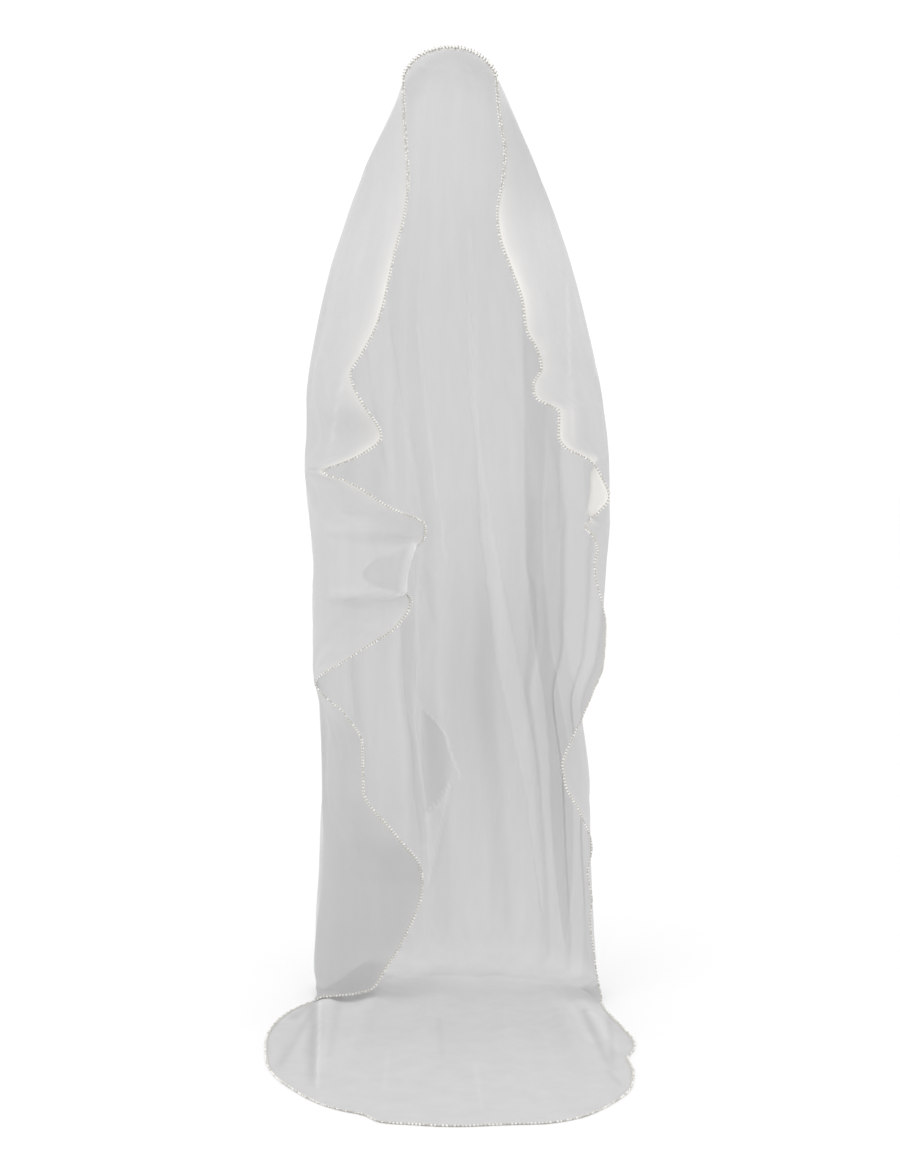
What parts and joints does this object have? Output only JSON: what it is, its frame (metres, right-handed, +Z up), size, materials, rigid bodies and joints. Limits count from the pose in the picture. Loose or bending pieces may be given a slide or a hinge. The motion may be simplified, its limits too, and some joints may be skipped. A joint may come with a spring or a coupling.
{
  "type": "bridal veil",
  "caption": "Floor-length sheer tulle veil with a pearl-beaded corded edge, draped from the crown of the head, open in front and swept forward into a rounded train.",
  "frame": {"origin": "on the top of the crown edge, where the top of the wearer's head holds the veil", "axes": "+Z up, the wearer faces -Y, so the veil is open towards -Y and its train runs that way; +X is on the viewer's right"},
  "size_m": [0.6437, 1.0988, 1.762],
  "materials": {
    "tulle": "sheer matte net, ivory white",
    "pearl_edging": "rolled satin cord set with small ivory pearls"
  },
  "bodies": {
    "root": {"crown": "tulle", "left_fall": "tulle", "back_fall": "tulle", "right_fall": "tulle", "train": "tulle", "pearl_edging": "pearl_edging"}
  },
  "joints": []
}
